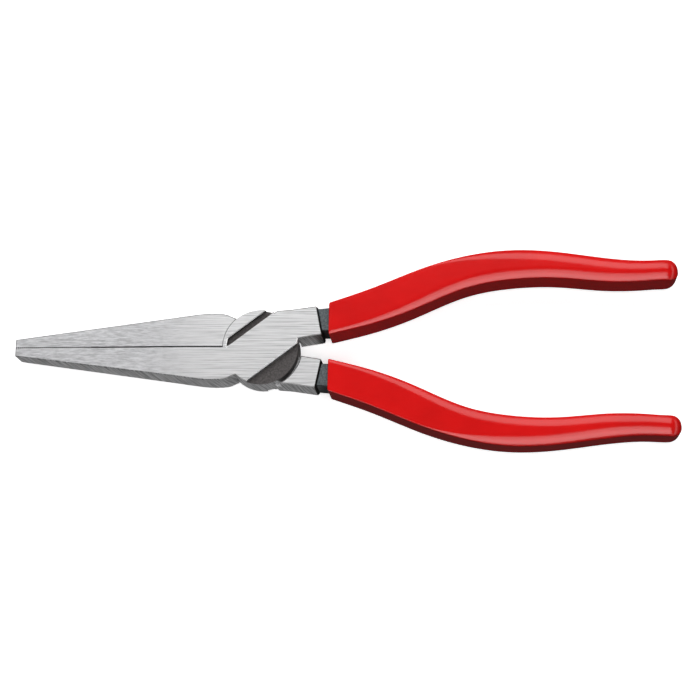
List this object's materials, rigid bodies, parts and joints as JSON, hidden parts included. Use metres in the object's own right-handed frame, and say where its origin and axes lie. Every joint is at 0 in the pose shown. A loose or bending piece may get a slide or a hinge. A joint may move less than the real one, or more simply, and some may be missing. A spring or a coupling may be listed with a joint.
{
  "type": "flat nose pliers",
  "caption": "Flat nose pliers with long tapering serrated jaws, a round lap joint with a raised diagonal band, and bowed handles in glossy red dipped grips.",
  "frame": {"origin": "on the pivot axis, in the plane of the joint's flat rear face", "axes": "+X from the jaws to the handle ends, +Y to the upper handle, +Z from the rear face to the front face along the pivot axis"},
  "size_m": [0.1599, 0.0478, 0.011],
  "materials": {
    "ground_steel": "ground along the tool, dark forged skin in the recesses and on the necks",
    "rivet_steel": "ground flush",
    "dipped_grip": "glossy dipped soft plastic"
  },
  "bodies": {
    "rear_half": {"rear_lever": "ground_steel", "lower_grip": "dipped_grip"},
    "front_half": {"front_lever": "ground_steel", "upper_grip": "dipped_grip", "pivot_rivet": "rivet_steel"}
  },
  "joints": [
    {"name": "jaw_pivot", "type": "hinge", "parent": "rear_half", "child": "front_half", "pos_m": [0, 0, 0.005], "axis": [0, 0, 1], "range_deg": [0, 60]}
  ]
}
